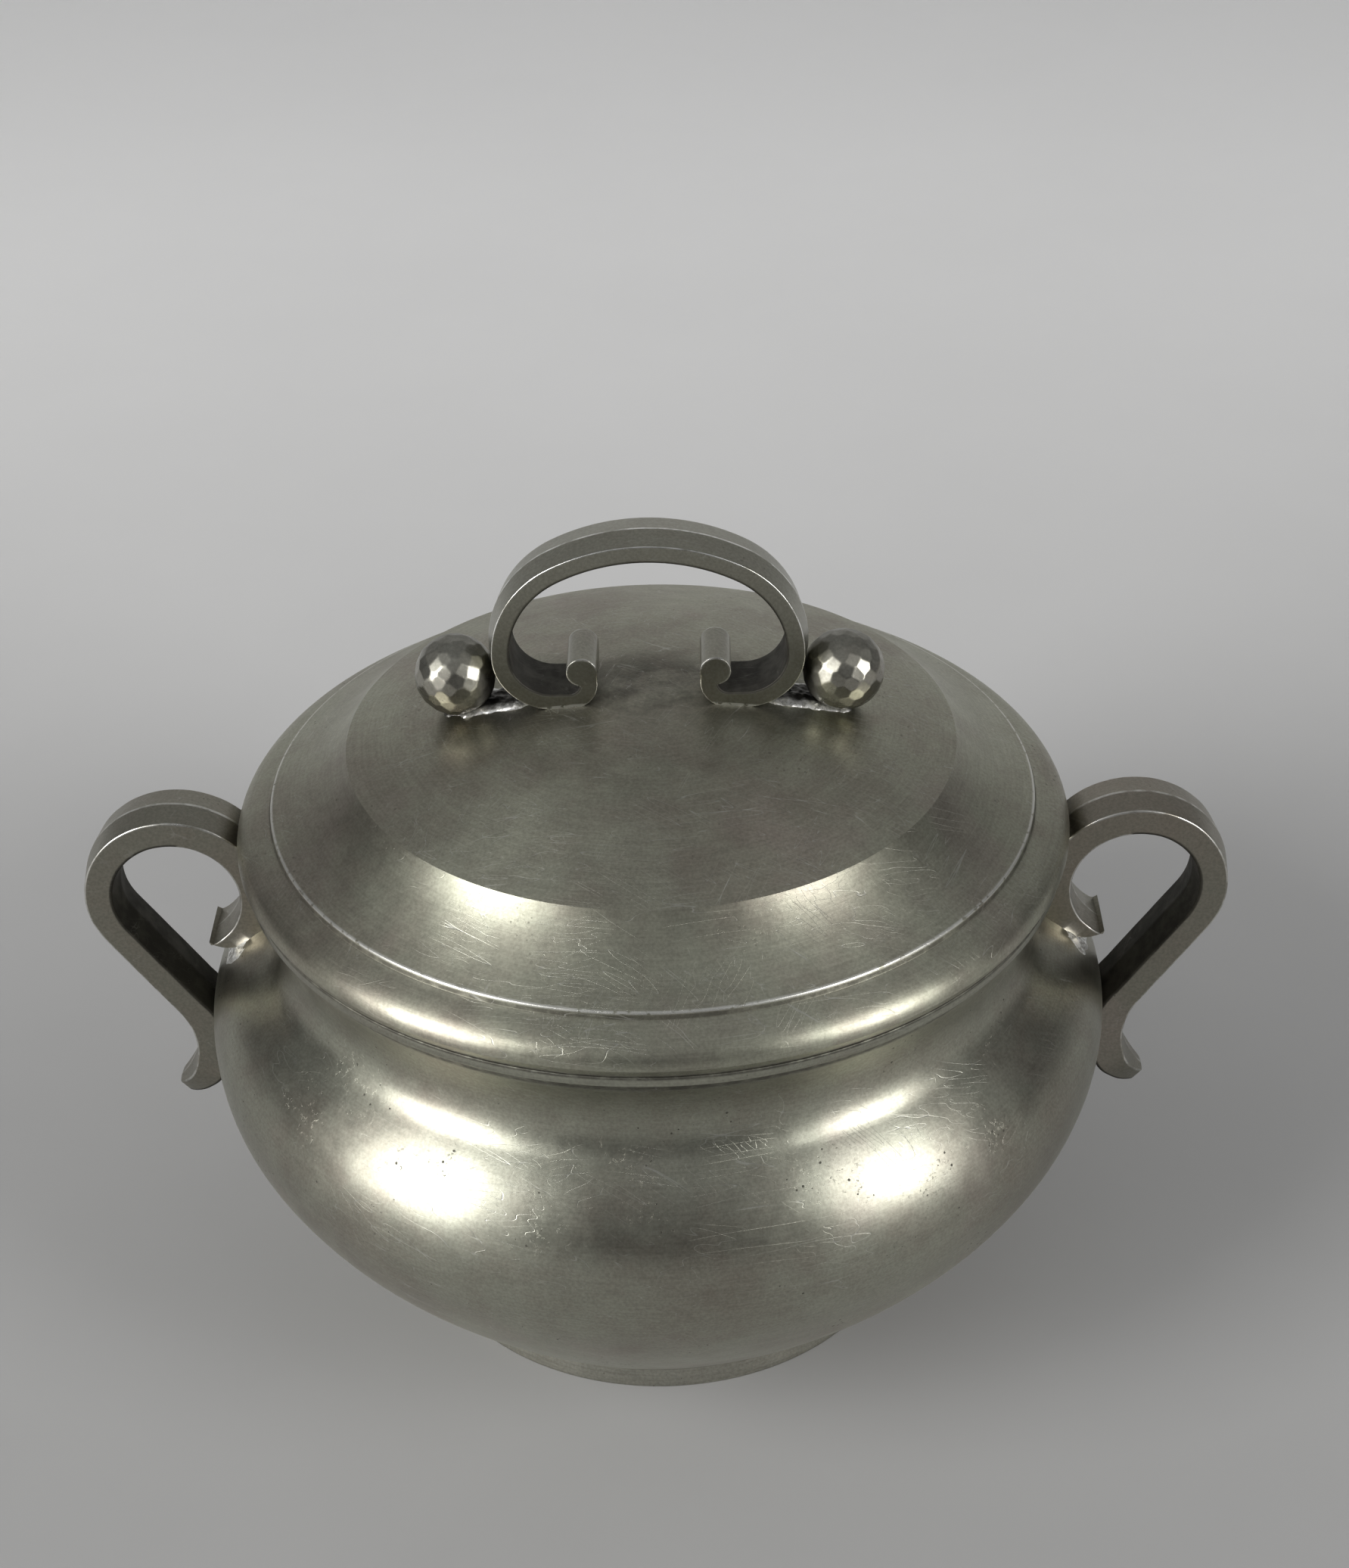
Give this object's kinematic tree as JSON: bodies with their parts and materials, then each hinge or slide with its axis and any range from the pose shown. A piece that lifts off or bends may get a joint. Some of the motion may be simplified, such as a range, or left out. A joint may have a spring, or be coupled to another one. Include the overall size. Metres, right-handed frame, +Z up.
{
  "type": "lidded sugar bowl",
  "caption": "Squat round pewter sugar bowl with a concave neck, ridged strap side handles that curl out at the foot, and a domed lift-off lid with an arched bail between hammered balls.",
  "frame": {"origin": "centre of the foot ring's underside, on the table", "axes": "+Z up through the lid, +X through the right side handle, +Y towards the back"},
  "size_m": [0.1628, 0.1292, 0.1203],
  "materials": {
    "spun_pewter": "satin pewter with fine turning lines, scratches and brown-grey tarnish",
    "rim_pewter": "satin pewter, rubbed brighter",
    "cast_pewter": "cast pewter, dark in the hollows and rubbed bright on the ridge",
    "lid_pewter": "satin pewter with fine turning lines and scratches",
    "bail_pewter": "cast pewter with bright worn edges",
    "planished_pewter": "hammered pewter, rubbed bright",
    "solder": "bright rough solder"
  },
  "bodies": {
    "bowl": {"bowl_body": "spun_pewter", "rim_band": "rim_pewter", "foot_ring": "rim_pewter", "left_handle": "cast_pewter", "right_handle": "cast_pewter"},
    "lid": {"lid_shell": "lid_pewter", "lid_bezel": "spun_pewter", "lid_bail": "bail_pewter", "left_ball": "planished_pewter", "right_ball": "planished_pewter", "lid_solder": "solder"}
  },
  "joints": [
    {"name": "lid_lift", "type": "slide", "parent": "bowl", "child": "lid", "axis": [0, 0, 1], "range_m": [0, 0.06]}
  ]
}
